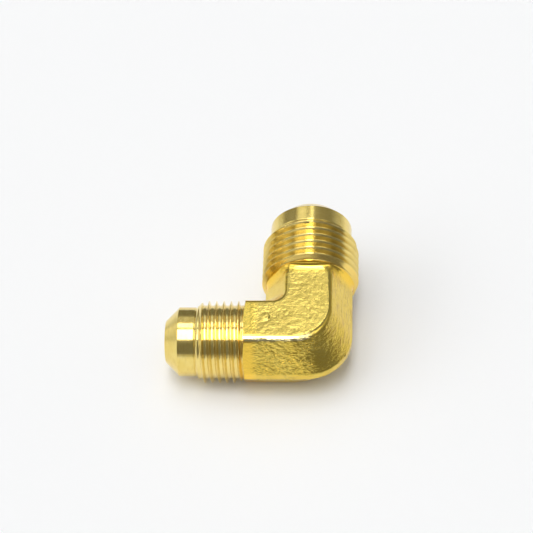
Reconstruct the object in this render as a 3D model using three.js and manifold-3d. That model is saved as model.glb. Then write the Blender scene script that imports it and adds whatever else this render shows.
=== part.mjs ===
// A forged brass 90 degree reducing flare elbow, made from one piece of metal.
//
// Frame: millimetres, +Z up. The origin is on the lower wrench flat, straight
// below the point where the two port axes cross. The small port points along -X
// and the large port along +Y. Everything is drawn with the crossing point at
// zero, in the forging's parting plane, and lifted as a whole at the end.
//
// Each port is a male 45 degree flare end: a 45 degree seat cone, a plain
// pilot, and a right-hand unified thread that runs out against the forged body.
// The body is a hexagonal section bent round the corner, drilled from both
// ports so that the two drillings meet.

import * as THREE from "three";
import { mergeVertices } from "three/addons/utils/BufferGeometryUtils.js";
import Module from "manifold-3d";

const { clamp, degToRad } = THREE.MathUtils;

// --------------------------------------------------------------------- ports
// A station is a distance from the crossing point along a port's axis.
const INCH = 25.4;

// Small port: 3/8 in tube, 5/8-18 UNF.
const SMALL = {
  pitch: INCH / 18,
  crestR: 7.87,
  rootR: 7.0,
  crestAt: 13.815, // a crest's station at angle crestAngle
  crestAngle: 36.8, // degrees
  shoulder: 12.35, // where the body ends
  runout: [12.55, 13.75], // thread crest grows to full height between these stations
  runoutR: 7.0, // crest radius where it starts to grow
  rise: [12.7, 13.4], // thread root reaches full depth between these stations
  riseR: 7.2, // root radius where it starts to deepen
  chamfer: [20.2, 21.45], // thread fades out between these stations
  pilotR: 6.64,
  coneAt: 24.87,
  tipR: 4.02,
  tipAt: 27.49,
  boreR: ((9 / 32) * INCH) / 2,
  boreTo: 0.6, // full-diameter drilling goes this far past the other axis
};

// Large port: 1/2 in tube, 3/4-16 UNF.
const LARGE = {
  pitch: INCH / 16,
  crestR: 9.45,
  rootR: 8.5,
  crestAt: 14.15,
  crestAngle: 0,
  shoulder: 13.1,
  runout: [13.1, 14.6],
  runoutR: 8.74,
  rise: [13.7, 15.2],
  riseR: 9.0,
  chamfer: [22.0, 23.6],
  pilotR: 8.02,
  coneAt: 27.12,
  tipR: 5.72,
  tipAt: 29.42,
  boreR: ((13 / 32) * INCH) / 2,
  boreTo: 1.5,
};

// Shared by both ports.
const CREST_HALF = 1 / 16; // half the crest flat, in pitches
const ROOT_HALF = 1 / 12; // half the root flat, in pitches
const CORE_R = 6.9; // radius of each port's root inside the body
const CORE_DEPTH = 1.2; // how far that root reaches behind the shoulder
const CORE_GAP = 0.05; // it ends this far short of the shoulder
const TRIM_CLEAR = 0.02; // the trimming envelope clears the crests by this
const RISE_SINK = 0.05; // the rise cone ends this far below the thread root
const THREAD_EXTRA = { back: 1.6, front: 0.4 }; // untrimmed thread past each end
const NOSE_OVERLAP = 0.4; // how far the nose reaches back into the thread
const DRILL_HALF_ANGLE = 59; // half of a 118 degree drill point
const MOUTH = 0.1; // chamfer inside each port's mouth
const MOUTH_PAST = 0.5; // the drilling carries on this far past the mouth

const TURN_FACETS = 40; // one turn of a thread
const ROUND_FACETS = 40; // a plain circle
const HEX_END_FACETS = 64;
const FLARE_FACETS = 48;

// --------------------------------------------------------------- forged body
// Hexagon 15 mm across flats, two flats parallel to the parting plane, its side
// corners sheared off where the flash was trimmed.
const FLAT_Z = 7.5; // half of the across-flats height
const OUTER_BAND = 8.3; // outer side at the trimmed flash, from either axis
const INNER_BAND = 8.62; // inner side at the trimmed flash, from either axis

// Lengthwise lines of the upper half, from the outer side to the inner. y is the
// line's place on the small leg, x its place on the large leg, cornerR its plan
// radius at the bend, z its height. The lower half mirrors them.
const BODY_LINES = [
  { y: -OUTER_BAND, x: OUTER_BAND, cornerR: 9.4, z: 0.72 }, // outer flash band
  { y: -4.2, x: 4.33, cornerR: 7.6, z: FLAT_Z }, // flat's outer edge
  { y: 4.55, x: -4.42, cornerR: 2.5, z: FLAT_Z }, // flat's inner edge
  { y: INNER_BAND, x: -INNER_BAND, cornerR: 1.2, z: 0.22 }, // inner flash band
];
const LINE_STEPS = { small: 5, corner: 12, large: 5 };
const EDGE_R = 1.1; // rounding of the edges of the flats
const EDGE_STEPS = 3;
const LARGE_END_GAP = 0.2; // the hexagon stops this far short of the large shoulder

// Turned chamfer on the small end of the hexagon.
const HEX_CHAMFER = 15; // degrees from the end face
const HEX_END_CLEAR = { radius: 60, station: -40 }; // well outside the body

// Hollow fillet between the body and the large thread.
const FLARE = {
  radius: 1.25,
  sweep: 88, // degrees
  steps: 5,
  rimR: 8.78,
  rimPast: 0.08, // the rim goes this far past the shoulder
  from: 9, // station where the turned part starts
  sink: 0.1, // inset of the plain part below the flats
};

// ----------------------------------------------------------- manifold bridge
const wasm = await Module();
wasm.setup();

function solid(geometry) {
  const bare = new THREE.BufferGeometry().setAttribute(
    "position",
    geometry.toNonIndexed().getAttribute("position"),
  );
  const merged = mergeVertices(bare, 1e-4);
  const made = new wasm.Manifold(
    new wasm.Mesh({
      numProp: 3,
      vertProperties: merged.attributes.position.array,
      triVerts: new Uint32Array(merged.index.array),
    }),
  );
  if (made.volume() <= 0) throw new Error("a solid is inside out");
  return made;
}

function solidFrom(positions, index) {
  const geometry = new THREE.BufferGeometry();
  geometry.setAttribute("position", new THREE.Float32BufferAttribute(positions, 3));
  geometry.setIndex(index);
  return solid(geometry);
}

function geometryOf(manifold) {
  const { numVert, numProp, vertProperties, triVerts } = manifold.getMesh();
  const positions = new Float32Array(numVert * 3);
  for (let i = 0; i < numVert; i++)
    positions.set(vertProperties.subarray(i * numProp, i * numProp + 3), i * 3);
  const geometry = new THREE.BufferGeometry();
  geometry.setAttribute("position", new THREE.BufferAttribute(positions, 3));
  geometry.setIndex(new THREE.BufferAttribute(new Uint32Array(triVerts), 1));
  geometry.computeVertexNormals();
  return geometry;
}

// A lathe about +Y. The profile is a list of [radius, station].
function turned(profile, facets = ROUND_FACETS) {
  const points = profile.map(([radius, station]) => new THREE.Vector2(radius, station));
  return solid(new THREE.LatheGeometry(points, facets));
}

// Turns +Y to -X. An angle measured from +Z towards +X about a port drawn along
// +Y is then measured from +Y towards -Z.
const TO_SMALL = new THREE.Matrix4().set(
  0, -1, 0, 0,
  0, 0, 1, 0,
  -1, 0, 0, 0,
  0, 0, 0, 1,
);

function onSmallAxis(manifold) {
  return manifold.transform(TO_SMALL.toArray());
}

// ---------------------------------------------------------------- body parts
// One body line in plan: straight, quarter arc, straight. Every line has the
// same count of points, so that they pair up one to one.
function planCurve({ y, x, cornerR }, startX, endY) {
  const centreX = x - cornerR;
  const centreY = y + cornerR;
  const points = [];
  for (let i = 0; i < LINE_STEPS.small; i++) {
    const along = ((centreX - startX) * i) / LINE_STEPS.small;
    points.push(new THREE.Vector2(startX + along, y));
  }
  const arc = new THREE.EllipseCurve(
    centreX, centreY, cornerR, cornerR, -Math.PI / 2, 0, false, 0,
  );
  points.push(...arc.getPoints(LINE_STEPS.corner));
  for (let i = 1; i <= LINE_STEPS.large; i++) {
    const along = ((endY - centreY) * i) / LINE_STEPS.large;
    points.push(new THREE.Vector2(x, centreY + along));
  }
  return points;
}

// Points of the arc that rounds the corner between two neighbouring points.
function rounded(before, corner, after) {
  const toBefore = before.clone().sub(corner).normalize();
  const toAfter = after.clone().sub(corner).normalize();
  const half = Math.acos(clamp(toBefore.dot(toAfter), -1, 1)) / 2;
  const centre = toBefore
    .clone()
    .add(toAfter)
    .normalize()
    .multiplyScalar(EDGE_R / Math.sin(half))
    .add(corner);
  // From the arc's centre to where it touches each side.
  const [startArm, endArm] = [toBefore, toAfter].map((side) =>
    side.clone().multiplyScalar(EDGE_R / Math.tan(half)).add(corner).sub(centre),
  );
  const angle = startArm.angleTo(endArm);
  const points = [];
  for (let i = 0; i <= EDGE_STEPS; i++) {
    const share = i / EDGE_STEPS;
    const startPart = Math.sin((1 - share) * angle) / Math.sin(angle);
    const endPart = Math.sin(share * angle) / Math.sin(angle);
    points.push(
      startArm
        .clone()
        .multiplyScalar(startPart)
        .add(endArm.clone().multiplyScalar(endPart))
        .add(centre),
    );
  }
  return points;
}

// The bent hexagon: closed cross-section rings joined along the body lines.
function forgedBody() {
  const curves = BODY_LINES.map((line) =>
    planCurve(line, -SMALL.shoulder, LARGE.shoulder - LARGE_END_GAP),
  );
  const rings = curves[0].map((_, i) => {
    const halfRing = (side) => {
      const [outerBand, outerEdge, innerEdge, innerBand] = curves.map(
        (curve, j) => new THREE.Vector3(curve[i].x, curve[i].y, side * BODY_LINES[j].z),
      );
      return [
        outerBand,
        ...rounded(outerBand, outerEdge, innerEdge),
        ...rounded(outerEdge, innerEdge, innerBand),
        innerBand,
      ];
    };
    return [...halfRing(1), ...halfRing(-1).reverse()];
  });
  const size = rings[0].length;
  const positions = rings.flat().flatMap((point) => point.toArray());
  const index = [];
  for (let i = 0; i + 1 < rings.length; i++)
    for (let j = 0; j < size; j++) {
      const near = i * size + j;
      const nearNext = i * size + ((j + 1) % size);
      const far = near + size;
      const farNext = nearNext + size;
      index.push(near, farNext, nearNext, near, far, farNext);
    }
  const end = (rings.length - 1) * size;
  for (let j = 1; j + 1 < size; j++) {
    index.push(0, j, j + 1);
    index.push(end, end + j + 1, end + j);
  }
  return solidFrom(positions, index);
}

// What the body is cut to at its small end: a blunt cone round a flat face.
function hexEnd() {
  const { radius, station } = HEX_END_CLEAR;
  const slope = Math.tan(degToRad(HEX_CHAMFER));
  const profile = [
    [0, station],
    [radius, station],
    [radius, SMALL.shoulder - (radius - FLAT_Z) * slope],
    [FLAT_Z, SMALL.shoulder],
    [0, SMALL.shoulder],
  ];
  return onSmallAxis(turned(profile, HEX_END_FACETS));
}

function flare() {
  const base = LARGE.shoulder - FLARE.radius;
  const profile = [
    [0, FLARE.from],
    [FLAT_Z - FLARE.sink, FLARE.from],
    [FLAT_Z - FLARE.sink, base - FLARE.sink],
  ];
  for (let i = 0; i <= FLARE.steps; i++) {
    const angle = (i / FLARE.steps) * degToRad(FLARE.sweep);
    profile.push([
      FLAT_Z + FLARE.radius * (1 - Math.cos(angle)),
      base + FLARE.radius * Math.sin(angle),
    ]);
  }
  profile.push(
    [FLARE.rimR, LARGE.shoulder],
    [FLARE.rimR, LARGE.shoulder + FLARE.rimPast],
    [0, LARGE.shoulder + FLARE.rimPast],
  );
  return turned(profile, FLARE_FACETS);
}

// ---------------------------------------------------------------- port parts
// Radius of the thread form at a distance from a crest, in pitches.
function threadRadius(port, pitches) {
  const fromCrest = Math.abs(pitches - Math.round(pitches)); // 0.5 at the root
  const flank = 0.5 - ROOT_HALF - CREST_HALF;
  const depth = clamp((fromCrest - CREST_HALF) / flank, 0, 1);
  return port.crestR + (port.rootR - port.crestR) * depth;
}

// The thread as one closed body about +Y, right-handed. Rows of points follow
// the helix, four to a pitch: both edges of the crest flat and of the root
// flat. Every column of rows is cut at the same two stations and capped there.
function threadSolid(port) {
  const { pitch, crestAt } = port;
  const from = port.shoulder - THREAD_EXTRA.back;
  const to = port.chamfer[1] + THREAD_EXTRA.front;
  const phase = port.crestAngle / 360;
  const edges = [-CREST_HALF, CREST_HALF, 0.5 - ROOT_HALF, 0.5 + ROOT_HALF];
  const first = Math.floor((from - crestAt) / pitch) - 2;
  const last = Math.ceil((to - crestAt) / pitch) + 2;
  const rows = (last - first + 1) * edges.length;
  const positions = [];
  for (let j = 0; j < TURN_FACETS; j++) {
    const turn = j / TURN_FACETS;
    const angle = turn * Math.PI * 2;
    for (let k = first; k <= last; k++)
      for (const edge of edges) {
        const y = clamp(crestAt + pitch * (k + edge + turn - phase), from, to);
        const radius = threadRadius(port, (y - crestAt) / pitch - turn + phase);
        positions.push(radius * Math.sin(angle), y, radius * Math.cos(angle));
      }
  }
  // The seam joins row i of the last column to row i + 4 of the first, one
  // pitch on, because the rows climb with the helix.
  const vertex = (row, column) => {
    const seam = column === TURN_FACETS;
    const climbed = seam ? row + edges.length : row;
    return (seam ? 0 : column) * rows + clamp(climbed, 0, rows - 1);
  };
  const index = [];
  for (let i = 0; i + 1 < rows; i++)
    for (let j = 0; j < TURN_FACETS; j++) {
      const low = vertex(i, j);
      const lowNext = vertex(i, j + 1);
      const highNext = vertex(i + 1, j + 1);
      const high = vertex(i + 1, j);
      index.push(low, lowNext, highNext, low, highNext, high);
    }
  const startCentre = positions.length / 3;
  const endCentre = startCentre + 1;
  positions.push(0, from, 0, 0, to, 0);
  for (let j = 0; j < TURN_FACETS; j++) {
    const next = (j + 1) % TURN_FACETS;
    index.push(startCentre, next * rows, j * rows);
    index.push(endCentre, j * rows + rows - 1, next * rows + rows - 1);
  }
  return solidFrom(positions, index);
}

// One finished port about +Y: the thread trimmed by its run-out and lead
// chamfer, then the pilot and the seat cone.
function finishedPort(port) {
  const { crestR, pilotR, runoutR, riseR, runout, rise, chamfer } = port;
  const start = port.shoulder - CORE_DEPTH;
  const coreEnd = port.shoulder - CORE_GAP;
  const core = [
    [0, start],
    [CORE_R, start],
    [CORE_R, coreEnd],
  ];
  const envelope = turned([
    ...core,
    [runoutR, coreEnd],
    [runoutR, runout[0]],
    [crestR + TRIM_CLEAR, runout[1]],
    [crestR + TRIM_CLEAR, chamfer[0]],
    [pilotR, chamfer[1]],
    [0, chamfer[1]],
  ], TURN_FACETS);
  const rootRise = turned([
    ...core,
    [riseR, coreEnd],
    [riseR, rise[0]],
    [port.rootR - RISE_SINK, rise[1]],
    [0, rise[1]],
  ], TURN_FACETS);
  const nose = turned([
    [0, chamfer[1] - NOSE_OVERLAP],
    [pilotR, chamfer[1] - NOSE_OVERLAP],
    [pilotR, port.coneAt],
    [port.tipR, port.tipAt],
    [0, port.tipAt],
  ]);
  return threadSolid(port).add(rootRise).intersect(envelope).add(nose);
}

// The drilling of one port about +Y, carried on past the mouth.
function drilling({ boreR, boreTo, tipAt }) {
  const point = boreR / Math.tan(degToRad(DRILL_HALF_ANGLE));
  return turned([
    [0, -boreTo - point],
    [boreR, -boreTo],
    [boreR, tipAt - MOUTH],
    [boreR + MOUTH + MOUTH_PAST, tipAt + MOUTH_PAST],
    [0, tipAt + MOUTH_PAST],
  ]);
}

// ------------------------------------------------------------------ assembly
function elbowSolid() {
  return forgedBody()
    .intersect(hexEnd())
    .add(flare())
    .add(onSmallAxis(finishedPort(SMALL)))
    .add(finishedPort(LARGE))
    .subtract(drilling(LARGE))
    .subtract(onSmallAxis(drilling(SMALL)));
}

const brass = new THREE.MeshStandardMaterial({
  color: 0xd9b44a,
  metalness: 1.0,
  roughness: 0.32,
});

const elbow = new THREE.Mesh(geometryOf(elbowSolid()), brass);
elbow.name = "elbow_body";
elbow.position.z = FLAT_Z; // puts the lower flat at z = 0

const fitting = new THREE.Group();
fitting.name = "flare_elbow";
fitting.add(elbow);

export default fitting;
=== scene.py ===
"""A forged brass 90 degree elbow with two threaded ports, lying on pale paper.

The small port points to -X and the large port to +Y. Their axes cross at zero and lie
level; the forging's two flats face up and down. Sizes are in millimetres from that
crossing; mesh_object lifts them so that the lower flat is at z = 0, and scales to metres.
"""
import itertools
import math
from functools import cache
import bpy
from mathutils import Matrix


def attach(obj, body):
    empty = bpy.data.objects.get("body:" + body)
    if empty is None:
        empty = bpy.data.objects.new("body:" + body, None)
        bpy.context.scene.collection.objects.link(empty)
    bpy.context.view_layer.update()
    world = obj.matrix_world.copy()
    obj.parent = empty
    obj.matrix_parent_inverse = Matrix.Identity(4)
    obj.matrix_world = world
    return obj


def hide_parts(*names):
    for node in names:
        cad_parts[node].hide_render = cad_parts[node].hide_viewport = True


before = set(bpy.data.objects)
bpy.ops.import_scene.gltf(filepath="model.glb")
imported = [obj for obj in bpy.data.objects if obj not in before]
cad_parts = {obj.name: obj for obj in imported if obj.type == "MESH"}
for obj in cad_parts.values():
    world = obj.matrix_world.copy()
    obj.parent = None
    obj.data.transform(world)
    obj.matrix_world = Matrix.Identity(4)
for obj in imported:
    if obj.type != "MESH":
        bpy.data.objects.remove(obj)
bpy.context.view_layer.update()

from types import SimpleNamespace

import bmesh
import bpy
import numpy as np
from mathutils import Matrix

MM = 0.001
INCH = 25.4

# Forged body
FLAT_Z = 7.5  # half the distance across the flats
LIFT = FLAT_Z
SMALL_END = 12.35  # end face of the small leg, at -x
LARGE_END = 13.1  # end face of the large leg, at +y
FLARE_R = 1.25  # hollow between the large leg and the thread shoulder
NECK_R = 8.70  # the round that the hollow ends in
ROUNDING_Y = 10.4  # the hexagon may turn round past this
CAP_RING_R = 7.35  # ring of points inside each end cap

# Points along the body: small leg, bend, large leg, hollow
SMALL_LEG_N, BEND_N, LARGE_LEG_N, FLARE_N = ((50, 66, 46, 14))
# Points around it: each slanted face, each rounded edge, each flat
SLANT_N, EDGE_N, FLAT_N = ((34, 8, 42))
BAND_N = 7  # across the narrow outer band

# Faces around the body; outer is away from the inside of the elbow
OUTER_SLANT, OUTER_EDGE, FLAT, INNER_EDGE, INNER_SLANT, INNER_BAND, OUTER_BAND = range(1, 8)

# Thread and bore. Stations are distances from the crossing along the port's axis.
CORE_R, CORE_DEPTH = 6.8, 1.35  # plug that joins a port to the body
# "form" columns: distance from the crest in pitches, share of the full depth.
# "envelope", "foot" and "nose" columns: station, radius.
SMALL = SimpleNamespace(
    name="small", axis="X", turned=1, drilled=3,  # material indices
    columns=162,  # points around
    pitch=INCH / 18, crest=7.87, root=7.00,
    crest_at=13.815, crest_angle=36.8,  # a point of the helix, in degrees
    form=[  # a fuller root
        (0.0, 0.0), (0.030, 0.000), (0.045, 0.050), (0.150, 0.460), (0.235, 0.830),
        (0.265, 0.900), (0.300, 0.945), (0.350, 0.975), (0.420, 0.994), (0.5, 1.0),
    ],
    envelope=[(12.2, 7.0), (12.50, 7.0), (13.15, 7.87), (20.2, 7.87), (21.45, 6.66)],
    foot=[(12.5, 7.15), (12.95, 7.0)],  # least radius where the thread starts
    first=12.45, last=21.40,  # stations the thread spans
    core_at=12.30,
    nose=[
        (21.45, 6.62), (21.50, 6.50), (21.60, 6.49), (21.72, 6.625), (21.75, 6.64),
        (21.9, 6.64), (24.78, 6.64), (24.83, 6.64), (24.86, 6.632), (24.885, 6.615),
        (24.92, 6.58), (27.38, 4.12), (27.41, 4.09), (27.44, 4.055), (27.47, 4.01),
        (27.485, 3.97), (27.49, 3.93), (27.49, 3.88),
    ],
    bore=9 / 32 * INCH / 2, bore_past=0.6,  # radius, and reach beyond the crossing
)
LARGE = SimpleNamespace(
    name="large", axis="Y", turned=2, drilled=4,
    columns=186,
    pitch=INCH / 16, crest=9.45, root=8.48,
    crest_at=14.15, crest_angle=0.0,
    form=[  # flanks at 60 degrees to each other, filleted root
        (0.0, 0.0), (0.030, 0.000), (0.045, 0.045), (0.190, 0.47), (0.335, 0.895),
        (0.36, 0.945), (0.385, 0.975), (0.415, 0.990), (0.455, 0.998), (0.5, 1.0),
    ],
    envelope=[(12.0, 8.74), (13.1, 8.74), (13.5, 9.45), (22.0, 9.45), (23.6, 8.0)],
    foot=[(13.12, 8.72), (13.55, 8.48)],
    first=13.14, last=23.35,
    core_at=13.09,
    nose=[
        (23.58, 7.98), (23.63, 7.89), (23.75, 7.88), (23.86, 8.005), (23.89, 8.02),
        (24.1, 8.02), (27.00, 8.02), (27.06, 8.02), (27.10, 8.012), (27.13, 7.99),
        (27.17, 7.95), (29.30, 5.82), (29.34, 5.78), (29.37, 5.745), (29.40, 5.70),
        (29.415, 5.66), (29.42, 5.62), (29.42, 5.56),
    ],
    bore=13 / 32 * INCH / 2, bore_past=1.5,
)


# --------------------------------------------------------------------- noise
def smooth(start, end, value):
    """Smooth step from 0 at start to 1 at end; start may be the larger."""
    t = np.clip((value - start) / (end - start), 0.0, 1.0)
    return t * t * (3 - 2 * t)


@cache
def noise_table(seed):
    return np.random.default_rng(seed).uniform(-1, 1, (32, 32, 32))


def value_noise(points, seed):
    """Smooth noise in about -1..1 at points (n, 3), one cell per unit."""
    table = noise_table(seed)
    low = np.floor(points).astype(int)
    share = points - low
    share = share * share * share * (share * (share * 6 - 15) + 10)
    low &= 31
    high = (low + 1) & 31
    sides = [((low[:, n], 1 - share[:, n]), (high[:, n], share[:, n])) for n in range(3)]
    total = 0
    for (i, weight_i), (j, weight_j), (k, weight_k) in itertools.product(*sides):
        total = total + table[i, j, k] * weight_i * weight_j * weight_k
    return total


OCTAVE_TURN = np.array([[0.36, 0.48, -0.8], [-0.8, 0.6, 0.0], [0.48, 0.64, 0.6]])


def fractal_noise(points, seed, octaves, gain=0.5):
    total, strength = 0, 1.0
    for k in range(octaves):
        total = total + strength * value_noise(points + 7.3 * k, seed + k)
        points = points @ OCTAVE_TURN * 2.03
        strength *= gain
    return total


# -------------------------------------------------------------- mesh helpers
def mesh_object(name, verts, faces, material_index, materials, closed=True):
    mesh = bpy.data.meshes.new(name)
    verts = (np.asarray(verts, float) + np.array([0, 0, LIFT])) * MM
    mesh.from_pydata(verts.tolist(), [], np.asarray(faces).tolist())
    for material in materials:
        mesh.materials.append(material)
    indices = np.full(len(mesh.polygons), material_index, np.int32)
    mesh.polygons.foreach_set("material_index", indices)
    mesh.update()
    if closed:  # turn every face outward
        bm = bmesh.new()
        bm.from_mesh(mesh)
        bmesh.ops.recalc_face_normals(bm, faces=bm.faces)
        if bm.calc_volume(signed=True) < 0:
            bmesh.ops.reverse_faces(bm, faces=bm.faces)
        bm.to_mesh(mesh)
        bm.free()
        mesh.update()
    thing = bpy.data.objects.new(name, mesh)
    bpy.context.scene.collection.objects.link(thing)
    return thing


def brass_object(name, verts, tris, material_index):
    """A closed triangle mesh with all the brass materials, wound outward."""
    a, b, c = (verts[tris[:, k]] for k in range(3))
    if np.einsum("ij,ij->i", a, np.cross(b, c)).sum() < 0:
        tris = tris[:, ::-1]
    return mesh_object(name, verts, tris, material_index, BRASS)


def port_object(name, verts, tris, port, material_index):
    """Ports are drawn about +Y; the small one is rotated to point to -X."""
    thing = brass_object(name, turn_to_port(verts, port), tris, material_index)
    return thing


def turn_to_port(verts, port):
    if port.axis == "Y":
        return verts
    x, y, z = verts.T
    return np.stack([-y, z, -x], 1)


def quads(a, b, c, d):
    """Two triangles for each quad a-b-c-d of vertex indices."""
    halves = (np.stack([a, b, c], -1), np.stack([a, c, d], -1))
    return np.concatenate([half.reshape(-1, 3) for half in halves])


def skin(ring, following):
    """Triangles between closed rings of vertex indices."""
    return quads(ring, np.roll(ring, -1, -1), np.roll(following, -1, -1), following)


def circle(station, radius, angles):
    """Points round the Y axis."""
    across, up = radius * np.sin(angles), radius * np.cos(angles)
    return np.stack([across, np.full(len(angles), station), up], 1)


def weld(verts, tris):
    """Merges equal points and drops the triangles that collapse."""
    unique, inverse = np.unique(np.round(verts, 6), axis=0, return_inverse=True)
    tris = inverse.reshape(-1)[tris]
    a, b, c = tris.T
    return unique, tris[(a != b) & (b != c) & (a != c)]


# ------------------------------------------------------------- shader helper
class Net:
    """Short calls that add shader nodes and return their output sockets."""

    def __init__(self, tree):
        self.tree = tree
        tree.nodes.clear()

    def new(self, kind, **props):
        node = self.tree.nodes.new(kind)
        for key, value in props.items():
            setattr(node, key, value)
        return node

    def put(self, socket, value):
        if isinstance(value, bpy.types.NodeSocket):
            self.tree.links.new(value, socket)
        else:
            socket.default_value = value

    def math(self, operation, a, b=0.0):
        node = self.new("ShaderNodeMath", operation=operation)
        for socket, value in zip(node.inputs, (a, b, 0.0)):
            self.put(socket, value)
        return node.outputs[0]

    def chain(self, operation, values):
        total = values[0]
        for value in values[1:]:
            total = self.math(operation, total, value)
        return total

    def mul(self, *values):
        return self.chain("MULTIPLY", values)

    def add(self, *values):
        return self.chain("ADD", values)

    def sub(self, a, b):
        return self.math("SUBTRACT", a, b)

    def invert(self, value):
        return self.sub(1.0, value)

    def length(self, a, b):
        return self.math("SQRT", self.add(self.mul(a, a), self.mul(b, b)))

    def vector(self, operation, a, b=(0, 0, 0)):
        node = self.new("ShaderNodeVectorMath", operation=operation)
        self.put(node.inputs[0], a)
        self.put(node.inputs[1], b)
        return node.outputs[0]

    def scale(self, vector, factor):
        node = self.new("ShaderNodeVectorMath", operation="SCALE")
        self.put(node.inputs[0], vector)
        self.put(node.inputs["Scale"], factor)
        return node.outputs[0]

    def split(self, vector):
        node = self.new("ShaderNodeSeparateXYZ")
        self.put(node.inputs[0], vector)
        return node.outputs

    def combine(self, *values):
        node = self.new("ShaderNodeCombineXYZ")
        for socket, value in zip(node.inputs, values):
            self.put(socket, value)
        return node.outputs[0]

    def ramp(self, value, start, end, low=0.0, high=1.0):
        """Smooth step from low at start to high at end; start may be the larger."""
        node = self.new("ShaderNodeMapRange", interpolation_type="SMOOTHSTEP")
        names = ("Value", "From Min", "From Max", "To Min", "To Max")
        for key, setting in zip(names, (value, start, end, low, high)):
            self.put(node.inputs[key], setting)
        return node.outputs[0]

    def window(self, value, low, high, soft):
        """1 between low and high, 0 outside, with soft limits."""
        rise = self.ramp(value, low - soft, low + soft)
        return self.mul(rise, self.ramp(value, high - soft, high + soft, 1.0, 0.0))

    def noise(self, vector, scale, detail, rough, distortion=0.0):
        node = self.new("ShaderNodeTexNoise", noise_dimensions="3D")
        names = ("Vector", "Scale", "Detail", "Roughness", "Distortion")
        for key, setting in zip(names, (vector, scale, detail, rough, distortion)):
            self.put(node.inputs[key], setting)
        return node.outputs["Fac"]

    def ridge(self, noise, width):
        """1 where a noise crosses its middle value, 0 from width away."""
        return self.ramp(self.math("ABSOLUTE", self.sub(noise, 0.5)), start=width, end=0.0)

    def mix(self, share, a, b):
        node = self.new("ShaderNodeMix", data_type="RGBA")
        self.put(node.inputs[0], share)
        for socket, color in ((node.inputs[6], a), (node.inputs[7], b)):
            self.put(socket, (*color, 1.0) if isinstance(color, tuple) else color)
        return node.outputs[2]

    def tint(self, color, target, mask, amount):
        return self.mix(self.mul(mask, amount), color, target)

    def bump(self, height, distance):
        node = self.new("ShaderNodeBump")
        self.put(node.inputs["Strength"], 1.0)
        self.put(node.inputs["Distance"], distance)
        self.put(node.inputs["Height"], height)
        return node.outputs[0]


def new_material(name):
    material = bpy.data.materials.new(name)
    material.use_nodes = True
    net = Net(material.node_tree)
    output = net.new("ShaderNodeOutputMaterial")
    return material, net, output, net.new("ShaderNodeBsdfPrincipled")


def new_metal(name):
    """Also returns the point being shaded, in millimetres."""
    material, net, output, shader = new_material(name)
    net.put(output.inputs[0], shader.outputs[0])
    net.put(shader.inputs["Metallic"], 1.0)
    point = net.scale(net.new("ShaderNodeTexCoord").outputs["Object"], 1 / MM)
    return material, net, shader, point


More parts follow.
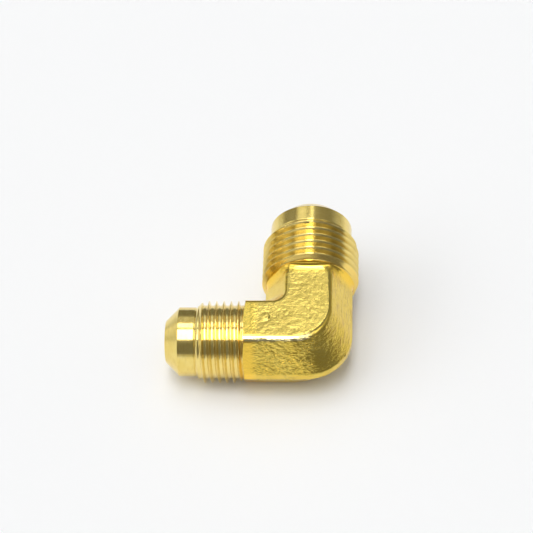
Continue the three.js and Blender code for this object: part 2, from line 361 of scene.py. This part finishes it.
# --------------------------------------------------------------------- brass
def forged_brass():
    material, net, shader, point = new_metal("forged_brass")
    x, y, z = net.split(point)
    geometry = net.new("ShaderNodeNewGeometry")
    normal_x, normal_y, normal_z = net.split(geometry.outputs["True Normal"])

    # The faced ends are smoother than the as-forged middle.
    forged = net.mul(net.ramp(x, start=-11.3, end=-9.2), net.ramp(y, start=12.4, end=10.8))
    front = net.mul(net.ramp(normal_y, start=-0.25, end=-0.6), forged)
    steepness = net.math("ABSOLUTE", normal_z)
    flats = net.mul(net.ramp(steepness, start=0.9, end=0.97), forged)
    side = net.mul(net.ramp(normal_x, start=0.55, end=0.80), forged)  # the +X side
    # The burnished upper rounded edges, and a painted highlight along the one at the front
    edge = net.mul(
        net.ramp(normal_z, start=0.62, end=0.70),
        net.ramp(normal_z, start=0.985, end=0.955),
        net.ramp(y, start=11.2, end=10.2),
    )
    high_left = net.mul(net.ramp(z, start=14.0, end=14.25), net.ramp(x, start=1.5, end=-1.0))
    painted_highlight_edge = net.mul(edge, net.ramp(normal_y, start=-0.08, end=-0.35), high_left)

    broad = net.noise(point, scale=0.28, detail=3, rough=0.55)
    middle = net.noise(point, scale=1.3, detail=3, rough=0.6, distortion=0.4)
    fine = net.noise(point, scale=4.5, detail=3, rough=0.65)
    grain = net.noise(point, scale=11.0, detail=2, rough=0.6)
    peel = net.noise(point, scale=2.4, detail=2, rough=0.5, distortion=0.3)
    along_y = net.vector("MULTIPLY", point, (2.4, 0.35, 2.4))
    drawn = net.noise(along_y, scale=1.0, detail=3, rough=0.6)

    # Wrinkles: long ones along X and weaker even ones, in patches, fading to the right
    along_x = net.vector("MULTIPLY", point, (0.75, 1.3, 1.3))
    long_noise = net.noise(along_x, scale=1.0, detail=2, rough=0.5, distortion=1.2)
    even_noise = net.noise(point, scale=1.7, detail=2, rough=0.5, distortion=0.8)
    patches = net.noise(point, scale=0.33, detail=1, rough=0.5)
    wrinkle = net.mul(
        net.add(net.ridge(long_noise, width=0.14), net.mul(net.ridge(even_noise, width=0.15), 0.5)),
        net.ramp(patches, start=0.38, end=0.58, low=0.35),
        net.ramp(x, start=3.0, end=-1.0, low=0.35),
    )

    color = net.mix(
        net.ramp(broad, start=0.35, end=0.66), (0.84, 0.605, 0.100), (0.88, 0.655, 0.125)
    )
    # Painted shade: the flats are darker, to tone down the overhead light they reflect
    color = net.mix(flats, color, (0.63, 0.490, 0.118))
    # Faced ends, paler where they face up: a painted highlight
    upward = net.ramp(normal_z, start=0.9, end=0.97)
    faced = net.mix(upward, (0.98, 0.655, 0.092), (0.93, 0.70, 0.135))
    color = net.mix(net.invert(forged), color, faced)
    # Painted highlight: a pale colour along the front upper edge
    color = net.tint(color, (0.98, 0.90, 0.58), mask=painted_highlight_edge, amount=0.6)
    # Darker blotches, paler specks, and dark drawn lines on the +X side
    blotch = net.ramp(middle, start=0.56, end=0.74)
    color = net.tint(color, (0.62, 0.43, 0.10), mask=blotch, amount=0.35)
    speck = net.ramp(fine, start=0.60, end=0.75)
    color = net.tint(color, (0.95, 0.77, 0.30), mask=speck, amount=0.22)
    drawn_dark = net.mul(side, net.ramp(drawn, start=0.46, end=0.64))
    color = net.tint(color, (0.70, 0.47, 0.13), mask=drawn_dark, amount=0.75)
    # Paler when seen in a reflection
    glossy = net.new("ShaderNodeLightPath").outputs["Is Glossy Ray"]
    color = net.tint(color, (0.96, 0.86, 0.55), mask=glossy, amount=0.45)
    net.put(shader.inputs["Base Color"], color)

    # 0.165 all over, uneven; a little more where forged, less on edges
    uneven = net.mul(net.sub(middle, 0.5), 0.12)
    rough = net.add(net.add(0.165, uneven), net.mul(net.add(forged, flats), 0.02))
    net.put(shader.inputs["Roughness"], net.sub(rough, net.mul(edge, 0.07)))

    # Relief heights in millimetres; the texture is weak on faced ends, edges and flats
    zone = net.mul(net.add(0.18, net.mul(forged, 0.82)), net.invert(net.mul(edge, 0.6)))
    texture = net.add(net.mul(fine, 0.022), net.mul(grain, 0.008), net.mul(peel, 0.045))
    height = net.add(
        net.mul(texture, net.mul(zone, net.invert(net.mul(flats, 0.72)))),
        net.mul(wrinkle, front, 0.050),
        net.mul(wrinkle, flats, 0.007),
        net.mul(drawn, side, 0.075),
    )
    net.put(shader.inputs["Normal"], net.bump(height, distance=MM))
    return material


def lathed_brass(name, axis, rough, mark, glossy_tint, thread_end=0.0, thread_rough=0.0):
    """Lathe-cut brass with fine rings round the axis.

    rough applies beyond the station thread_end and thread_rough before it; mark is the
    depth of the rings in metres; glossy_tint is how far it pales in reflections.
    """
    material, net, shader, point = new_metal(name)
    x, y, z = net.split(point)
    height_z = net.sub(z, LIFT)
    on_x = axis == "X"
    along, across = (x, y) if on_x else (y, x)
    radius = net.length(across, height_z)

    # The tangent runs along the axis on round faces and is radial on end faces.
    radial = net.combine(0.0, across, height_z) if on_x else net.combine(across, 0.0, height_z)
    radial = net.scale(net.vector("NORMALIZE", radial), 0.02)
    axis_vector = (1.0, 0.0, 0.0) if on_x else (0.0, 1.0, 0.0)
    tangent = net.vector("NORMALIZE", net.vector("ADD", radial, axis_vector))
    net.put(shader.inputs["Anisotropic"], 0.5)
    net.put(shader.inputs["Tangent"], tangent)

    ring_point = net.combine(along, net.mul(radius, 1.0), 0.0)
    rings = net.noise(ring_point, scale=9.0, detail=3, rough=0.7)
    fine = net.noise(ring_point, scale=26.0, detail=2, rough=0.6)
    stain = net.noise(point, scale=0.5, detail=3, rough=0.6)
    mottle = net.noise(point, scale=2.2, detail=3, rough=0.65)
    stretch = (2.6, 0.5, 0.5) if on_x else (0.5, 2.6, 0.5)
    streak_point = net.vector("MULTIPLY", point, stretch)
    streak = net.noise(streak_point, scale=1.0, detail=3, rough=0.6)

    color = net.mix(
        net.ramp(stain, start=0.35, end=0.7), (0.86, 0.655, 0.185), (0.90, 0.71, 0.23)
    )
    # Dark rings, dark streaks across the axis and pale mottling
    ring_mask = net.ramp(rings, start=0.55, end=0.7)
    color = net.tint(color, (0.70, 0.52, 0.14), mask=ring_mask, amount=0.25)
    streak_mask = net.ramp(streak, start=0.50, end=0.68)
    color = net.tint(color, (0.66, 0.47, 0.12), mask=streak_mask, amount=0.30)
    mottle_mask = net.ramp(mottle, start=0.52, end=0.72)
    color = net.tint(color, (0.97, 0.80, 0.36), mask=mottle_mask, amount=0.28)
    glossy = net.new("ShaderNodeLightPath").outputs["Is Glossy Ray"]
    color = net.tint(color, (0.97, 0.90, 0.66), mask=glossy, amount=glossy_tint)

    station = net.math("ABSOLUTE", along)
    limits = dict(start=thread_end - 0.1, end=thread_end + 0.1)
    if thread_end:
        threaded = net.ramp(station, **limits, low=1.0, high=0.0)
        color = net.tint(color, (0.92, 0.80, 0.42), mask=threaded, amount=0.15)
    if thread_end and not on_x:
        # Painted shade in the grooves, darker than the crests, most of all at the sides.
        aside = net.math("DIVIDE", net.math("ABSOLUTE", x), radius)
        painted_groove_shade = net.mul(
            net.ramp(radius, start=9.30, end=8.80),
            net.ramp(y, start=22.6, end=22.2),
            net.ramp(aside, start=0.15, end=0.55, low=0.12, high=0.55),
        )
        color = net.mix(painted_groove_shade, color, (0.66, 0.48, 0.11))
        # Painted reflection: the last flank, facing the forging, is tinted a deeper gold.
        geometry = net.new("ShaderNodeNewGeometry")
        normal_y = net.split(geometry.outputs["Normal"])[1]
        painted_flank_reflection = net.mul(
            net.ramp(y, start=14.9, end=14.7), net.ramp(normal_y, start=-0.50, end=-0.70)
        )
        color = net.tint(color, (1.0, 0.73, 0.20), mask=painted_flank_reflection, amount=0.85)
    net.put(shader.inputs["Base Color"], color)

    base = net.ramp(station, **limits, low=thread_rough, high=rough)
    uneven = net.sub(net.mul(net.add(rings, streak), 0.5), 0.5)
    net.put(shader.inputs["Roughness"], net.add(base, net.mul(uneven, 0.16)))
    height = net.add(net.mul(rings, 0.7), net.mul(fine, 0.3))
    net.put(shader.inputs["Normal"], net.bump(height, distance=mark))
    return material


# Forged first, then in the order of the ports' "turned" and "drilled" indices
BRASS = [
    forged_brass(),
    lathed_brass("turned_brass_small_port", "X", rough=0.15, mark=0.000010, glossy_tint=0.6,
                 thread_end=21.5, thread_rough=0.17),
    lathed_brass("turned_brass_large_port", "Y", rough=0.17, mark=0.000010, glossy_tint=0.25,
                 thread_end=23.6, thread_rough=0.18),
    lathed_brass("drilled_brass_small_port", "X", rough=0.30, mark=0.00003, glossy_tint=0.6),
    lathed_brass("drilled_brass_large_port", "Y", rough=0.30, mark=0.00003, glossy_tint=0.25),
]


# --------------------------------------------------------------- forged body
def elbow_path(leg_y, leg_x, bend, z):
    """Small leg at leg_y, quarter arc, large leg at leg_x, closer steps in the hollow."""
    center_x, center_y = leg_x - bend, leg_y + bend
    turn = np.linspace(-math.pi / 2, 0, BEND_N + 1)
    flare_y = LARGE_END - FLARE_R
    flare_turn = np.linspace(0, math.pi / 2, FLARE_N + 1)[1:]
    small_xs = np.linspace(-SMALL_END, center_x, SMALL_LEG_N, endpoint=False)
    large_ys = np.linspace(center_y, flare_y, LARGE_LEG_N + 1)[1:]
    path = np.concatenate([
        np.stack([small_xs, np.full(SMALL_LEG_N, leg_y)], 1),
        np.stack([center_x + bend * np.cos(turn), center_y + bend * np.sin(turn)], 1),
        np.stack([np.full(LARGE_LEG_N, leg_x), large_ys], 1),
        np.stack([np.full(FLARE_N, leg_x), flare_y + FLARE_R * np.sin(flare_turn)], 1),
    ])
    return np.concatenate([path, np.full((len(path), 1), z)], 1)


def round_corner(before, corner, after, radius, steps):
    """Arcs that round each corner; points are (n, 3) and radius is (n,)."""
    back = (before - corner) / np.linalg.norm(before - corner, axis=1)[:, None]
    ahead = (after - corner) / np.linalg.norm(after - corner, axis=1)[:, None]
    half = np.arccos(np.clip((back * ahead).sum(1), -1, 1)) / 2
    middle = back + ahead
    middle /= np.linalg.norm(middle, axis=1)[:, None]
    center = corner + middle * (radius / np.sin(half))[:, None]
    reach = (radius / np.tan(half))[:, None]
    start = corner + back * reach - center
    end = corner + ahead * reach - center
    cosine = (start * end).sum(1) / (radius * radius)
    angle = np.arccos(np.clip(cosine, -1, 1))[:, None]
    t = np.linspace(0, 1, steps + 1)[:, None, None]
    start_share = start * np.sin((1 - t) * angle) / np.sin(angle)
    return center + start_share + end * np.sin(t * angle) / np.sin(angle)


def line(a, b, count):
    """count points from a up to, but not including, b."""
    t = np.linspace(0, 1, count, endpoint=False)[:, None, None]
    return a * (1 - t) + b * t


def body_grid():
    """Hexagonal sections as (station, ring, 3), the face of each ring point, and
    each station's share of the way along."""
    rows, faces = [], []
    for up in (1, -1):
        outer_band = elbow_path(-8.12, 8.3, bend=9.2, z=up * 0.72)
        outer_top = elbow_path(-4.35, 4.25, bend=7.6, z=up * FLAT_Z)
        inner_top = elbow_path(4.55, -4.42, bend=2.5, z=up * FLAT_Z)
        inner_band = elbow_path(8.62, -8.62, bend=1.2, z=up * 0.22)
        stations = len(outer_top)
        share = np.linspace(0, 1, stations)
        # The outer edge is rounder on the small leg than on the large one.
        outer_r = 1.75 - 0.6 * smooth(0.42, 0.62, share)
        inner_r = np.full(stations, 1.15)
        outer = round_corner(outer_band, outer_top, inner_top, outer_r, EDGE_N)
        inner = round_corner(outer_top, inner_top, inner_band, inner_r, EDGE_N)
        parts = [
            (line(outer_band, outer[0], SLANT_N), OUTER_SLANT),
            (outer[:-1], OUTER_EDGE),
            (line(outer[-1], inner[0], FLAT_N), FLAT),
            (inner[:-1], INNER_EDGE),
            (line(inner[-1], inner_band, SLANT_N), INNER_SLANT),
            (inner_band[None], INNER_SLANT),
        ]
        points = np.concatenate([part for part, _ in parts])
        face = np.concatenate([np.full(len(part), kind) for part, kind in parts])
        if up < 0:
            points, face = points[::-1], face[::-1]
            middle = line(rows[-1][-1], points[0], 2)[1:]
            rows.append(middle)
            faces.append(np.full(len(middle), INNER_BAND))
        rows.append(points)
        faces.append(face)
    band = line(rows[-1][-1], rows[0][0], BAND_N)[1:]
    rows.append(band)
    faces.append(np.full(len(band), OUTER_BAND))
    return np.concatenate(rows).transpose(1, 0, 2), np.concatenate(faces), share


def open_to_round(section):
    """Opens a section of the large leg, in place, towards the round of the thread
    shoulder, in a hollow that is wide on the flats and small on the slants."""
    x, y, z = section.T
    radius, angle = np.hypot(x, z), np.arctan2(z, x)
    # Radius averaged over a few degrees, which rounds the corners off
    full = 2 * math.pi
    gap = (angle[:, None] - angle[None, :] + math.pi) % full - math.pi
    step = np.abs((np.roll(angle, -1) - np.roll(angle, 1) + math.pi) % full - math.pi)
    averages = []
    for spread in (3.0, 5.0):  # degrees
        weight = np.exp(-0.5 * (gap / math.radians(spread)) ** 2) * step[None, :]
        averages.append((weight * radius[None, :]).sum(1) / weight.sum(1))
    near, wide = averages
    fade = smooth(10.6, 12.2, y)
    soft = radius + (near + (wide - near) * fade - radius) * fade
    width = FLARE_R + 0.9 * smooth(0.88, 0.70, np.abs(z) / radius)
    t = np.clip((y - (LARGE_END - width)) / width, 0, 1)
    factor = (soft + (NECK_R - soft) * (1 - np.sqrt(1 - t * t))) / radius
    section[:, 0] *= factor
    section[:, 2] *= factor


def grid_normals(grid):
    along = np.gradient(grid, axis=0)
    around = np.roll(grid, -1, 1) - np.roll(grid, 1, 1)
    normals = np.cross(around, along)
    normals /= np.linalg.norm(normals, axis=2)[..., None] + 1e-12
    x, y = grid[..., 0], grid[..., 1]
    center = np.stack([np.minimum(x, 0), np.maximum(y, 0), 0 * x], -1)
    if ((grid - center) * normals).sum(2).mean() < 0:
        normals = -normals
    return normals


def forging_relief(points, normals, face):
    """Height of the forged surface's relief at each point."""
    x, y, z = points.T

    def stretched(cell, seed):
        return fractal_noise(points / np.array(cell), seed, 2)

    forged = 0.10 + 0.90 * (smooth(-11.6, -9.4, x) * smooth(12.4, 11.0, y))
    edge = (face == OUTER_EDGE) | (face == INNER_EDGE)
    band = face == OUTER_BAND
    right = (face == OUTER_SLANT) & (normals[:, 0] > 0.5)
    front = (face == OUTER_SLANT) & (normals[:, 1] < -0.3)

    # Peened look: a gentle wave, small bumps and shallow dents
    height = 0.010 * fractal_noise(points / 2.4, 11, 2)
    height = height + 0.012 * fractal_noise(points / 0.7, 31, 2, gain=0.6)
    height += -0.018 * smooth(0.1, 0.7, stretched((0.8, 0.65, 0.65), 51))
    strength = np.select(
        [edge, band, face >= INNER_EDGE, right], [0.55, 0.3, 0.35, 0.4], default=1.0
    )
    height = height * (strength * forged)

    # Front: patches of wrinkles drawn out along the small leg
    warp = [fractal_noise(points / 1.2, seed, 1) for seed in (77, 87, 97)]
    warped = points / np.array([1.25, 0.6, 0.6]) + 0.45 * np.stack(warp, 1)
    ridged = 1 - np.abs(fractal_noise(warped, 71, 2))
    patch = smooth(-0.45, 0.35, fractal_noise(points / 3.6, 91, 2))
    front = front * (0.35 + 0.65 * smooth(3.0, -1.0, x))
    height += front * forged * (0.095 * (ridged ** 2 - 0.6)) * (0.30 + 0.70 * patch)
    # Drawn lines along the large leg's outer side, upright tears on the outer band
    height += 0.009 * right * stretched((0.35, 3.0, 0.35), 101)
    height += 0.02 * band * stretched((0.5, 0.5, 3.0), 121)

    # A round raised pip with a dimple and a moat, on top of the small leg
    away = np.hypot(x + 8.1, y - 0.75) * (1 + 0.10 * fractal_noise(points / 0.9, 141, 1))
    top = z > 7
    pip = np.exp(-((away / 0.66) ** 4)) * top
    height += 0.075 * pip - 0.030 * np.exp(-(((away - 1.0) / 0.22) ** 2)) * top
    height -= 0.050 * np.exp(-((away / 0.38) ** 2)) * top
    # Slight waviness of the long outer edges
    height += 0.03 * fractal_noise(points / 5.0, 161, 1) * (face == OUTER_EDGE) * forged
    return height


def trim(points):
    """Turns a chamfer on the small end and keeps the flats to gauge, in place."""
    radius = np.hypot(points[:, 1], points[:, 2])
    chamfer = np.maximum(0, radius - 7.45) * math.tan(math.radians(15))
    points[:, 0] = np.maximum(points[:, 0], -(SMALL_END - chamfer))
    z = points[:, 2]
    gauged = np.clip(z, -FLAT_Z - 0.035, FLAT_Z + 0.08)
    points[:, 2] = np.where(points[:, 1] < ROUNDING_Y, gauged, z)


def forged_body():
    grid, face, share = body_grid()
    stations, around = grid.shape[:2]
    for i in range(stations):
        if share[i] >= 0.6 and grid[i, 0, 1] >= ROUNDING_Y:
            open_to_round(grid[i])
    normals = grid_normals(grid).reshape(-1, 3)
    points = grid.reshape(-1, 3)
    relief = forging_relief(points, normals, np.tile(face, stations))
    points = points + normals * relief[:, None]
    trim(points)

    indices = np.arange(stations * around).reshape(stations, around)
    verts, tris = [points], [skin(indices[:-1], indices[1:])]
    base = len(points)
    small_end, large_end = [-SMALL_END, 0.0, 0.0], [0.0, LARGE_END, 0.0]
    for rim, center, axis, flip in (
        (indices[0], np.array(small_end), 0, 1),
        (indices[-1], np.array(large_end), 1, -1),
    ):
        outward = points[rim] - center
        outward[:, axis] = 0
        outward = outward / np.linalg.norm(outward, axis=1)[:, None]
        verts += [center + outward * CAP_RING_R, center[None]]
        ring = base + np.arange(around)
        rim_next, ring_next = np.roll(rim, -1), np.roll(ring, -1)
        fan = np.stack([ring, np.full(around, base + around), ring_next], 1)
        cap = np.concatenate([quads(rim, ring, ring_next, rim_next), fan])
        tris.append(cap[:, ::flip])
        base += around + 1
    return brass_object("body_blank", np.concatenate(verts), np.concatenate(tris), 0)


# --------------------------------------------------------------------- ports
def thread_surface(port, turn):
    """The helical surface about +Y: vertices, triangles and its two end rings."""
    form_t, form_depth = np.array(port.form).T
    shares = np.concatenate([form_t[1:], 1 - form_t[-2:0:-1]])
    lowest = math.floor((port.first - port.crest_at) / port.pitch) - 2
    highest = math.ceil((port.last - port.crest_at) / port.pitch) + 2
    rows = (np.arange(lowest, highest + 1)[:, None] + shares[None]).reshape(-1)
    phase = port.crest_angle / 360
    station = port.crest_at + port.pitch * (rows[None] + turn[:, None] - phase)
    y = np.clip(station, port.first, port.last)
    share = (y - port.crest_at) / port.pitch - turn[:, None] + phase
    t = np.abs(share - np.round(share))
    radius = port.crest - (port.crest - port.root) * np.interp(t, form_t, form_depth)
    (foot_y, foot_r), (end_y, end_r) = port.foot
    slope = foot_r + (end_r - foot_r) * (y - foot_y) / (end_y - foot_y)
    floor = np.where(y < foot_y, foot_r, slope)
    radius = np.where(y < end_y, np.maximum(radius, floor), radius)
    # A soft minimum rounds the meeting of the thread with its chamfers.
    limit = np.interp(y, *np.array(port.envelope).T)
    soft = 0.012
    radius = -soft * np.logaddexp(-radius / soft, -limit / soft) + soft * 0.15
    angle = 2 * math.pi * turn[:, None] + 0 * y
    verts = np.stack([radius * np.sin(angle), y, radius * np.cos(angle)], -1).reshape(-1, 3)

    columns, count = len(turn), len(rows)
    i, j = np.meshgrid(np.arange(count - 1), np.arange(columns), indexing="ij")

    def vertex(i, j):
        """Past the last column the helix goes on in the first, one pitch further."""
        wrap = j >= columns
        row = np.clip(np.where(wrap, i + len(shares), i), 0, count - 1)
        return np.where(wrap, 0, j) * count + row

    tris = quads(vertex(i, j), vertex(i, j + 1), vertex(i + 1, j + 1), vertex(i + 1, j))
    first_ring = np.arange(columns) * count
    return verts, tris, first_ring, first_ring + count - 1


def threaded_port(port):
    columns = port.columns
    turn = np.arange(columns) / columns
    surface, surface_tris, first_ring, last_ring = thread_surface(port, turn)
    verts, tris = [surface], [surface_tris]
    base = len(surface)
    collar_r = port.envelope[0][1]
    core = [(port.core_at, collar_r), (port.core_at, CORE_R), (port.core_at - CORE_DEPTH, CORE_R)]
    for profile, ring, inward in ((core, first_ring, True), (port.nose, last_ring, False)):
        for station, radius in profile:
            following = base + np.arange(columns)
            verts.append(circle(station, radius, 2 * math.pi * turn))
            tris.append(skin(following, ring) if inward else skin(ring, following))
            base += columns
            ring = following
        verts.append(np.array([[0.0, station, 0.0]]))
        fan = np.stack([np.full(columns, base), ring, np.roll(ring, -1)], 1)
        tris.append(fan if inward else fan[:, ::-1])
        base += 1
    verts, tris = weld(np.concatenate(verts), np.concatenate(tris))
    return port_object("port_" + port.name, verts, tris, port, port.turned)


def drill(port):
    """The tool that cuts the bore: a 118 degree point and a flared mouth."""
    radius, end = port.bore, port.nose[-1][0]
    tip = -port.bore_past - radius / math.tan(math.radians(59))
    # Columns: station, radius; the first and last are the centres of the ends
    profile = [(tip, 0), (tip + 0.02, 0.03), (-port.bore_past, radius)]
    profile += [(y, radius) for y in np.linspace(-port.bore_past, end - 0.12, 24)[1:]]
    profile += [(end - 0.05, radius + 0.03), (end + 0.02, radius + 0.10)]
    profile += [(end + 0.6, radius + 0.7), (end + 0.6, 0)]

    columns = 120
    angles = 2 * math.pi * np.arange(columns) / columns
    verts = [np.array([[0.0, profile[0][0], 0.0], [0.0, profile[-1][0], 0.0]])]
    verts += [circle(y, ring_r, angles) for y, ring_r in profile[1:-1]]
    rings = [2 + k * columns + np.arange(columns) for k in range(len(profile) - 2)]
    first, last = rings[0], rings[-1]
    tris = [np.stack([np.zeros(columns, int), first, np.roll(first, -1)], 1)]
    tris += [skin(ring, following) for ring, following in zip(rings, rings[1:])]
    tris.append(np.stack([np.ones(columns, int), np.roll(last, -1), last], 1))
    verts, tris = np.concatenate(verts), np.concatenate(tris)
    return port_object("drill_" + port.name, verts, tris, port, port.drilled)


def boolean(target, tool, operation):
    """Applies a boolean to target and removes the tool."""
    modifier = target.modifiers.new(operation, "BOOLEAN")
    modifier.operation = operation
    modifier.solver = "MANIFOLD"
    modifier.object = tool
    depsgraph = bpy.context.evaluated_depsgraph_get()
    mesh = bpy.data.meshes.new_from_object(target.evaluated_get(depsgraph))
    target.modifiers.clear()
    old_mesh, tool_mesh = target.data, tool.data
    target.data = mesh
    bpy.data.meshes.remove(old_mesh)
    bpy.data.objects.remove(tool)
    bpy.data.meshes.remove(tool_mesh)


def build_elbow():
    elbow = forged_body()
    for port in (SMALL, LARGE):
        boolean(elbow, threaded_port(port), "UNION")
    for port in (LARGE, SMALL):
        boolean(elbow, drill(port), "DIFFERENCE")
    elbow.name = elbow.data.name = "flare_elbow_skin"
    elbow.data.polygons.foreach_set("use_smooth", np.ones(len(elbow.data.polygons), bool))
    elbow.data.set_sharp_from_angle(angle=math.radians(38))
    return elbow


elbow = build_elbow()
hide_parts("elbow_body")
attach(elbow, "root")


# --------------------------------------------------------------------- stage
def paper():
    """White paper, invisible from below. For all rays but the camera's it carries painted shade
    away from the fitting and to its front right, so only reflections and bounced light show it."""
    material, net, output, shader = new_material("paper")
    for key, value in (
        ("Roughness", 0.9),
        ("Specular IOR Level", 0.1),
        ("Emission Color", (1, 1, 1, 1)),
        ("Emission Strength", 0.03),
    ):
        net.put(shader.inputs[key], value)
    # Distances here are in metres.
    x, y, _ = net.split(net.new("ShaderNodeTexCoord").outputs["Object"])
    diagonal = net.sub(net.mul(x, -0.2), y)
    front_right = net.mul(
        net.ramp(diagonal, start=0.006, end=0.020), net.ramp(x, start=0.0, end=0.020)
    )
    away = net.length(x, y)
    behind = net.mul(
        net.ramp(away, start=0.05, end=0.20, high=0.35), net.ramp(y, start=0.0, end=0.03)
    )
    ahead = net.mul(
        net.ramp(away, start=0.05, end=0.25, high=0.32), net.ramp(y, start=0.0, end=-0.03)
    )
    dark = net.chain("MAXIMUM", (behind, ahead, front_right))
    seen = net.new("ShaderNodeLightPath").outputs["Is Camera Ray"]
    dark = net.mul(dark, net.invert(seen))
    # Painted shade on the paper, seen only in reflections and bounced light
    color = net.mix(dark, (0.94, 0.945, 0.95), (0.14, 0.14, 0.14))
    net.put(shader.inputs["Base Color"], color)

    mix = net.new("ShaderNodeMixShader")
    net.put(mix.inputs[0], net.new("ShaderNodeNewGeometry").outputs["Backfacing"])
    net.put(mix.inputs[1], shader.outputs[0])
    net.put(mix.inputs[2], net.new("ShaderNodeBsdfTransparent").outputs[0])
    net.put(output.inputs[0], mix.outputs[0])
    return material


def stage_floor():
    """The fitting lies on both threads and the corner of the body, so the paper is
    tilted against the fitting's frame."""
    slope_x, slope_y, center_z = 0.001, -0.122, -7.93
    half = 900.0
    verts = [
        (x * half, y * half, center_z + slope_x * x * half + slope_y * y * half)
        for x, y in ((-1, -1), (1, -1), (1, 1), (-1, 1))
    ]
    mesh_object("floor", verts, [(0, 1, 2, 3)], 0, [paper()], closed=False)


stage_floor()


def studio():
    """A dim room with light cards, drawn in the world shader."""
    world = bpy.data.worlds.new("studio")
    bpy.context.scene.world = world
    world.use_nodes = True
    net = Net(world.node_tree)
    output = net.new("ShaderNodeOutputWorld")
    background = net.new("ShaderNodeBackground")
    net.put(output.inputs[0], background.outputs[0])
    direction = net.new("ShaderNodeTexCoord").outputs["Generated"]
    x, y, z = net.split(net.vector("NORMALIZE", direction))
    # Where the direction meets a ceiling one unit up
    rise = net.math("MAXIMUM", z, 0.05)
    across, deep = net.math("DIVIDE", x, rise), net.math("DIVIDE", y, rise)
    upper = net.ramp(z, start=0.05, end=0.12)

    # Diffuse surfaces, mainly the paper, get more light from the left and less from the right.
    light_path = net.new("ShaderNodeLightPath")
    diffuse = light_path.outputs["Is Diffuse Ray"]
    from_right = net.invert(net.mul(diffuse, 0.9))
    from_left = net.add(1.0, net.mul(diffuse, 2.9))

    def on_x(low, high, soft):
        return net.window(across, low, high, soft)

    def on_y(low, high, soft):
        return net.window(deep, low, high, soft)

    def card(*masks, strength):
        return net.mul(*masks, strength)

    near = on_y(low=-0.516, high=0.12, soft=0.02)
    gap = on_y(low=0.12, high=0.25, soft=0.02)
    back = on_y(low=0.25, high=0.585, soft=0.02)
    middle = on_x(low=-0.14, high=0.11, soft=0.02)
    left = on_x(low=-0.74, high=-0.24, soft=0.10)
    lights = [
        # A narrow panel overhead, with a dim gap across it and two strips beyond
        card(middle, near, upper, strength=7.0),
        card(middle, gap, upper, strength=0.65),
        card(on_x(low=-0.17, high=-0.06, soft=0.015), back, upper, strength=4.2),
        card(on_x(low=0.005, high=0.085, soft=0.012), back, upper, strength=6.5),
        # A softer one to its left
        card(left, near, upper, strength=1.6),
        card(left, back, upper, strength=1.5),
        # Both go on behind, more faintly, with a trace to the right
        card(on_x(low=-0.05, high=0.115, soft=0.02), on_y(low=0.585, high=1.8, soft=0.02),
             upper, strength=1.08),
        card(on_x(low=-0.85, high=-0.22, soft=0.09), on_y(low=0.585, high=1.6, soft=0.02),
             upper, strength=0.62),
        card(on_x(low=0.12, high=0.40, soft=0.05), on_y(low=0.66, high=1.6, soft=0.04),
             upper, strength=0.06),
        # Soft end of the panel towards the front
        card(middle, net.ramp(deep, start=-0.95, end=-0.50),
             net.ramp(deep, start=-0.516, end=-0.50, low=1.0, high=0.0), upper, strength=0.22),
        # Fill from the upper left and the upper right
        card(on_x(low=-2.5, high=-1.0, soft=0.15), on_y(low=-1.2, high=0.50, soft=0.10),
             upper, from_left, strength=0.72),
        card(on_x(low=0.55, high=1.3, soft=0.15), on_y(low=-0.9, high=0.50, soft=0.10),
             upper, from_right, strength=0.22),
        # A small card above the corner of the body
        card(on_x(low=0.17, high=0.85, soft=0.06), on_y(low=-0.45, high=0.04, soft=0.06),
             upper, from_right, strength=1.3),
        # A low card in front
        card(net.window(x, low=-0.45, high=0.16, soft=0.10), net.ramp(y, start=-0.75, end=-0.90),
             net.window(z, low=0.02, high=0.22, soft=0.05), strength=0.36),
        # The room lightens towards the horizon, behind right and behind left
        card(net.ramp(x, start=0.35, end=0.6), net.ramp(y, start=-0.15, end=0.15),
             net.ramp(z, start=0.52, end=0.00), strength=0.34),
        card(net.ramp(x, start=-0.35, end=-0.6), net.ramp(y, start=0.1, end=0.4),
             net.ramp(z, start=0.12, end=-0.02), strength=0.40),
        # A low white card on the left
        card(net.ramp(x, start=-0.45, end=-0.65), net.ramp(z, start=0.62, end=0.50),
             net.ramp(y, start=-0.75, end=-0.5), net.ramp(y, start=0.62, end=0.5), strength=0.45),
    ]
    # The dim room, a little lighter high up behind
    high_behind = net.mul(net.ramp(y, start=0.0, end=0.3), net.ramp(z, start=0.25, end=0.80))
    room = net.add(0.205, net.mul(high_behind, 0.10))

    # The camera itself sees an even, nearly white background.
    choice = net.new("ShaderNodeMix", data_type="FLOAT")
    net.put(choice.inputs[0], light_path.outputs["Is Camera Ray"])
    net.put(choice.inputs[2], net.add(*lights, room))
    net.put(choice.inputs[3], 0.95)
    net.put(background.inputs["Strength"], choice.outputs[0])
    net.put(background.inputs["Color"], (1.0, 1.0, 1.0, 1))


studio()


def camera():
    """Looks down and towards +Y at the fitting."""
    distance = 388.795
    elevation, azimuth, roll = (math.radians(angle) for angle in (53.271, 4.63, -3.583))
    shift_right, shift_up = -8.165, 14.547  # from the crossing, in the view's plane
    back = np.array([
        math.sin(azimuth) * math.cos(elevation),
        -math.cos(azimuth) * math.cos(elevation),
        math.sin(elevation),
    ])
    level = np.array([math.cos(azimuth), math.sin(azimuth), 0.0])
    upright = np.cross(back, level)
    right = math.cos(roll) * level + math.sin(roll) * upright
    up = -math.sin(roll) * level + math.cos(roll) * upright
    place = right * shift_right + up * shift_up + distance * back
    place = (place + np.array([0, 0, LIFT])) * MM
    data = bpy.data.cameras.new("camera")
    data.sensor_width = 36
    data.lens = 136.7888555
    data.clip_start, data.clip_end = 0.01, 10
    thing = bpy.data.objects.new("camera", data)
    rows = [[right[i], up[i], back[i], place[i]] for i in range(3)]
    thing.matrix_world = Matrix(rows + [[0, 0, 0, 1]])
    bpy.context.scene.collection.objects.link(thing)
    bpy.context.scene.camera = thing


camera()
bpy.context.scene.view_settings.view_transform = "Standard"
